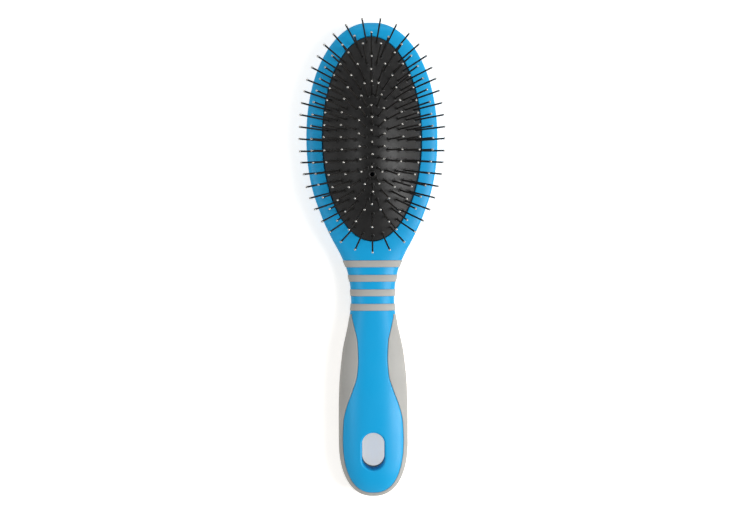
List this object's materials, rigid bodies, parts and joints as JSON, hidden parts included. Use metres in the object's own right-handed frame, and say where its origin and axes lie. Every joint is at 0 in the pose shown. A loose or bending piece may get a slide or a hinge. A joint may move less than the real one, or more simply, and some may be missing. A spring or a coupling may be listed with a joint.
{
  "type": "cushion pin brush",
  "caption": "Handheld pet pin brush: oval head with a domed rubber air cushion full of ball-tipped wire pins, soft grip and a hang slot.",
  "frame": {"origin": "on the surface under the brush, at the middle of its length and width, with the brush on its back", "axes": "+Y from the handle to the tip of the head, +Z the way the pins point, +X to the right as the pins are looked at"},
  "size_m": [0.069, 0.23, 0.047],
  "materials": {
    "blue_plastic": "satin",
    "grey_rubber": "matt soft touch",
    "black_rubber": "semi-matt",
    "pin_steel": "dark polished wire"
  },
  "bodies": {
    "root": {"handle_body": "blue_plastic", "grip_overmould": "grey_rubber", "neck_band_1": "grey_rubber", "neck_band_2": "grey_rubber", "neck_band_3": "grey_rubber", "neck_band_4": "grey_rubber", "cushion_pad": "black_rubber"},
    "centre_pins": {"centre_pins": "pin_steel"},
    "row1_side_pins": {"row1_pins_left": "pin_steel", "row1_pins_right": "pin_steel"},
    "row1_end_pins": {"row1_pins_tip": "pin_steel", "row1_pins_heel": "pin_steel"},
    "row2_side_pins": {"row2_pins_left": "pin_steel", "row2_pins_right": "pin_steel"},
    "row2_end_pins": {"row2_pins_tip": "pin_steel", "row2_pins_heel": "pin_steel"},
    "row3_side_pins": {"row3_pins_left": "pin_steel", "row3_pins_right": "pin_steel"},
    "row3_end_pins": {"row3_pins_tip": "pin_steel", "row3_pins_heel": "pin_steel"},
    "row4_side_pins": {"row4_pins_left": "pin_steel", "row4_pins_right": "pin_steel"},
    "row4_end_pins": {"row4_pins_tip": "pin_steel", "row4_pins_heel": "pin_steel"},
    "row5_pins": {"row5_pins_left": "pin_steel", "row5_pins_right": "pin_steel"}
  },
  "joints": [
    {"name": "cushion_press", "type": "slide", "parent": "root", "child": "centre_pins", "axis": [0, 0, -1], "range_m": [0, 0.0035], "stiffness_N_per_m": 3000, "deforming": ["cushion_pad"]},
    {"name": "row1_side_pins_press", "type": "slide", "parent": "root", "child": "row1_side_pins", "axis": [0, 0, -1], "range_m": [0, 0.000421]},
    {"name": "row1_end_pins_press", "type": "slide", "parent": "root", "child": "row1_end_pins", "axis": [0, 0, -1], "range_m": [0, 0.000176]},
    {"name": "row2_side_pins_press", "type": "slide", "parent": "root", "child": "row2_side_pins", "axis": [0, 0, -1], "range_m": [0, 0.00158]},
    {"name": "row2_end_pins_press", "type": "slide", "parent": "root", "child": "row2_end_pins", "axis": [0, 0, -1], "range_m": [0, 0.000982]},
    {"name": "row3_side_pins_press", "type": "slide", "parent": "root", "child": "row3_side_pins", "axis": [0, 0, -1], "range_m": [0, 0.00266]},
    {"name": "row3_end_pins_press", "type": "slide", "parent": "root", "child": "row3_end_pins", "axis": [0, 0, -1], "range_m": [0, 0.00182]},
    {"name": "row4_side_pins_press", "type": "slide", "parent": "root", "child": "row4_side_pins", "axis": [0, 0, -1], "range_m": [0, 0.00326]},
    {"name": "row4_end_pins_press", "type": "slide", "parent": "root", "child": "row4_end_pins", "axis": [0, 0, -1], "range_m": [0, 0.00259]},
    {"name": "row5_pins_press", "type": "slide", "parent": "root", "child": "row5_pins", "axis": [0, 0, -1], "range_m": [0, 0.0034]}
  ],
  "couplings": [
    {"joint": "row1_side_pins_press", "follows": "cushion_press", "ratio": 0.12},
    {"joint": "row1_end_pins_press", "follows": "cushion_press", "ratio": 0.05},
    {"joint": "row2_side_pins_press", "follows": "cushion_press", "ratio": 0.45},
    {"joint": "row2_end_pins_press", "follows": "cushion_press", "ratio": 0.28},
    {"joint": "row3_side_pins_press", "follows": "cushion_press", "ratio": 0.76},
    {"joint": "row3_end_pins_press", "follows": "cushion_press", "ratio": 0.52},
    {"joint": "row4_side_pins_press", "follows": "cushion_press", "ratio": 0.93},
    {"joint": "row4_end_pins_press", "follows": "cushion_press", "ratio": 0.74},
    {"joint": "row5_pins_press", "follows": "cushion_press", "ratio": 0.97}
  ]
}
